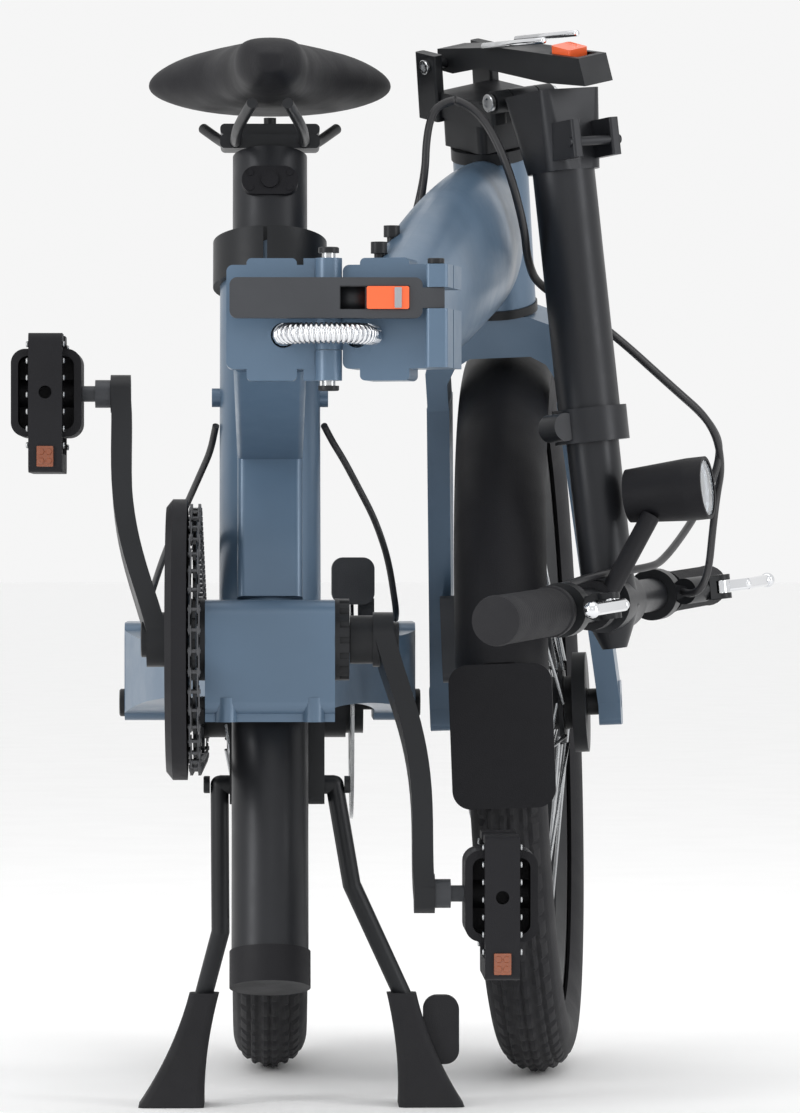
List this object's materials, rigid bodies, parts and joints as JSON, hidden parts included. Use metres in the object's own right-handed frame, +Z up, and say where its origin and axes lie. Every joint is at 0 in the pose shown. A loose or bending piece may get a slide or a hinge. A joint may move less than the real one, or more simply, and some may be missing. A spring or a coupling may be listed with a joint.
{
  "type": "folding bicycle",
  "caption": "Small-wheeled folding bicycle stored folded: hinged main tube, folding handlepost, folding pedals, disc brakes and a two-leg stand.",
  "frame": {"origin": "centre of the folded bicycle's bounding box, on the floor", "axes": "+X to the rider's left of the rear half, -Y the rear half's forward direction, +Z up"},
  "size_m": [0.5047, 0.796, 0.6921],
  "materials": {
    "frame_paint": "satin",
    "black_metal": "satin",
    "grey_metal": "satin",
    "steel": "brushed",
    "chrome": "polished",
    "black_plastic": "matte",
    "orange": "gloss",
    "tyre": "matte",
    "rubber": "matte",
    "lens": "clear",
    "cover": "satin"
  },
  "bodies": {
    "rear_frame": {"seat_tube": "frame_paint", "bottom_bracket_shell": "frame_paint", "bracket_cups": "black_metal", "chainstays": "frame_paint", "seat_clamp": "black_metal", "rear_axle": "black_metal", "rear_caliper": "grey_metal", "chain": "steel", "stand_bracket": "black_metal", "frame_hinge_pin": "chrome", "rear_cables": "rubber", "conduit_spring": "chrome"},
    "seatpost": {"seatpost": "black_metal", "seatpost_caps": "black_plastic", "saddle_clamp": "black_metal", "saddle_shell": "black_plastic", "saddle_pad": "cover"},
    "rear_wheel": {"rear_hub": "black_metal", "rear_spokes": "steel", "rear_rim": "black_metal", "rear_tyre": "tyre", "rear_rotor": "steel"},
    "crankset": {"crank_spindles": "black_metal", "cranks": "black_metal", "chainring": "black_metal", "chain_guard": "black_plastic"},
    "pedal_right": {"pedal_housing_right": "black_plastic"},
    "pedal_left": {"pedal_housing_left": "black_plastic"},
    "platform_right": {"pedal_platform_right": "black_plastic"},
    "platform_left": {"pedal_platform_left": "black_plastic"},
    "kickstand": {"stand_legs": "black_metal", "stand_feet": "rubber"},
    "front_frame": {"front_frame": "frame_paint", "headset_and_bolts": "black_metal"},
    "frame_latch": {"frame_latch_lever": "grey_metal"},
    "frame_lock": {"frame_latch_lock": "orange"},
    "fork": {"fork": "frame_paint", "front_fender": "black_plastic", "front_axle": "black_metal", "front_caliper": "grey_metal", "stem_base": "black_metal", "steering_cables": "rubber"},
    "front_wheel": {"front_hub": "black_metal", "front_spokes": "steel", "front_rim": "black_metal", "front_tyre": "tyre", "front_rotor": "steel"},
    "stem_latch": {"stem_latch_lever": "black_metal"},
    "stem_lock": {"stem_latch_lock": "orange"},
    "handlepost": {"handlepost": "black_metal", "post_cables": "rubber"},
    "bar": {"handlepost_inner": "black_metal", "handlebar": "black_metal", "grips": "rubber", "brake_bodies": "black_metal", "headlight": "black_plastic", "headlight_lens": "lens", "bar_cables": "rubber"},
    "brake_right": {"brake_blade_right": "chrome"},
    "brake_left": {"brake_blade_left": "chrome"}
  },
  "joints": [
    {"name": "frame_fold", "type": "hinge", "parent": "rear_frame", "child": "front_frame", "pos_m": [-0.0553, -0.362, 0.494], "axis": [0, 0, -1], "range_deg": [0, 167], "deforming": ["conduit_spring"]},
    {"name": "frame_latch", "type": "hinge", "parent": "front_frame", "child": "frame_latch", "pos_m": [0.00781, -0.39094, 0.504], "axis": [0, 0, 1], "range_deg": [0, 77]},
    {"name": "frame_lock", "type": "slide", "parent": "frame_latch", "child": "frame_lock", "axis": [-1, 0, 0], "range_m": [0, 0.006], "stiffness_N_per_m": 500},
    {"name": "steering", "type": "hinge", "parent": "front_frame", "child": "fork", "pos_m": [0.05371, -0.04541, 0.612], "axis": [-0.0695, -0.3011, 0.9511], "range_deg": [-6, 3], "deforming": ["steering_cables"]},
    {"name": "front_wheel_spin", "type": "hinge", "parent": "fork", "child": "front_wheel", "pos_m": [0.08443, 0.10835, 0.24991], "axis": [-0.9934, 0.1079, -0.0385], "continuous": true},
    {"name": "rear_wheel_spin", "type": "hinge", "parent": "rear_frame", "child": "rear_wheel", "pos_m": [-0.0903, 0.148, 0.25], "axis": [1, 0, 0], "continuous": true},
    {"name": "seatpost_slide", "type": "slide", "parent": "rear_frame", "child": "seatpost", "axis": [0, 0.2656, 0.9641], "range_m": [0, 0.15]},
    {"name": "crank_spin", "type": "hinge", "parent": "rear_frame", "child": "crankset", "pos_m": [-0.0903, -0.232, 0.2995], "axis": [1, 0, 0], "range_deg": [-30, 36]},
    {"name": "pedal_spin_right", "type": "hinge", "parent": "crankset", "child": "pedal_right", "pos_m": [-0.2303, -0.17233, 0.45333], "axis": [1, 0, 0], "continuous": true},
    {"name": "pedal_spin_left", "type": "hinge", "parent": "crankset", "child": "pedal_left", "pos_m": [0.0497, -0.29167, 0.14567], "axis": [1, 0, 0], "continuous": true},
    {"name": "pedal_fold_right", "type": "hinge", "parent": "pedal_right", "child": "platform_right", "pos_m": [-0.2303, -0.17233, 0.45333], "axis": [0, 1, 0], "range_deg": [0, 90]},
    {"name": "pedal_fold_left", "type": "hinge", "parent": "pedal_left", "child": "platform_left", "pos_m": [0.0497, -0.29167, 0.14567], "axis": [0, -1, 0], "range_deg": [0, 90]},
    {"name": "kickstand_fold", "type": "hinge", "parent": "rear_frame", "child": "kickstand", "pos_m": [-0.0903, -0.147, 0.206], "axis": [1, 0, 0], "range_deg": [0, 65]},
    {"name": "post_fold", "type": "hinge", "parent": "fork", "child": "handlepost", "pos_m": [0.07186, -0.08939, 0.64672], "axis": [-0.8285, -0.5372, -0.1582], "range_deg": [0, 164.2], "deforming": ["post_cables"]},
    {"name": "stem_latch", "type": "hinge", "parent": "fork", "child": "stem_latch", "pos_m": [0.03324, -0.04055, 0.67618], "axis": [-0.8257, -0.5177, -0.2242], "range_deg": [0, 164.2]},
    {"name": "stem_lock", "type": "slide", "parent": "stem_latch", "child": "stem_lock", "axis": [0.5611, -0.7946, -0.2317], "range_m": [0, 0.006], "stiffness_N_per_m": 500},
    {"name": "post_telescope", "type": "slide", "parent": "handlepost", "child": "bar", "axis": [0.1069, -0.0004, -0.9943], "range_m": [0, 0.06], "deforming": ["bar_cables"]},
    {"name": "brake_lever_right", "type": "hinge", "parent": "bar", "child": "brake_right", "pos_m": [0.20891, 0.00738, 0.33052], "axis": [0.1069, -0.0004, -0.9943], "range_deg": [0, 12], "stiffness_Nm_per_rad": 1.5},
    {"name": "brake_lever_left", "type": "hinge", "parent": "bar", "child": "brake_left", "pos_m": [0.1177, -0.27405, 0.32083], "axis": [-0.1069, 0.0004, 0.9943], "range_deg": [0, 12], "stiffness_Nm_per_rad": 1.5}
  ],
  "couplings": [
    {"joint": "frame_latch", "follows": "frame_fold", "ratio": 0.46108},
    {"joint": "stem_latch", "follows": "post_fold", "ratio": 1}
  ]
}
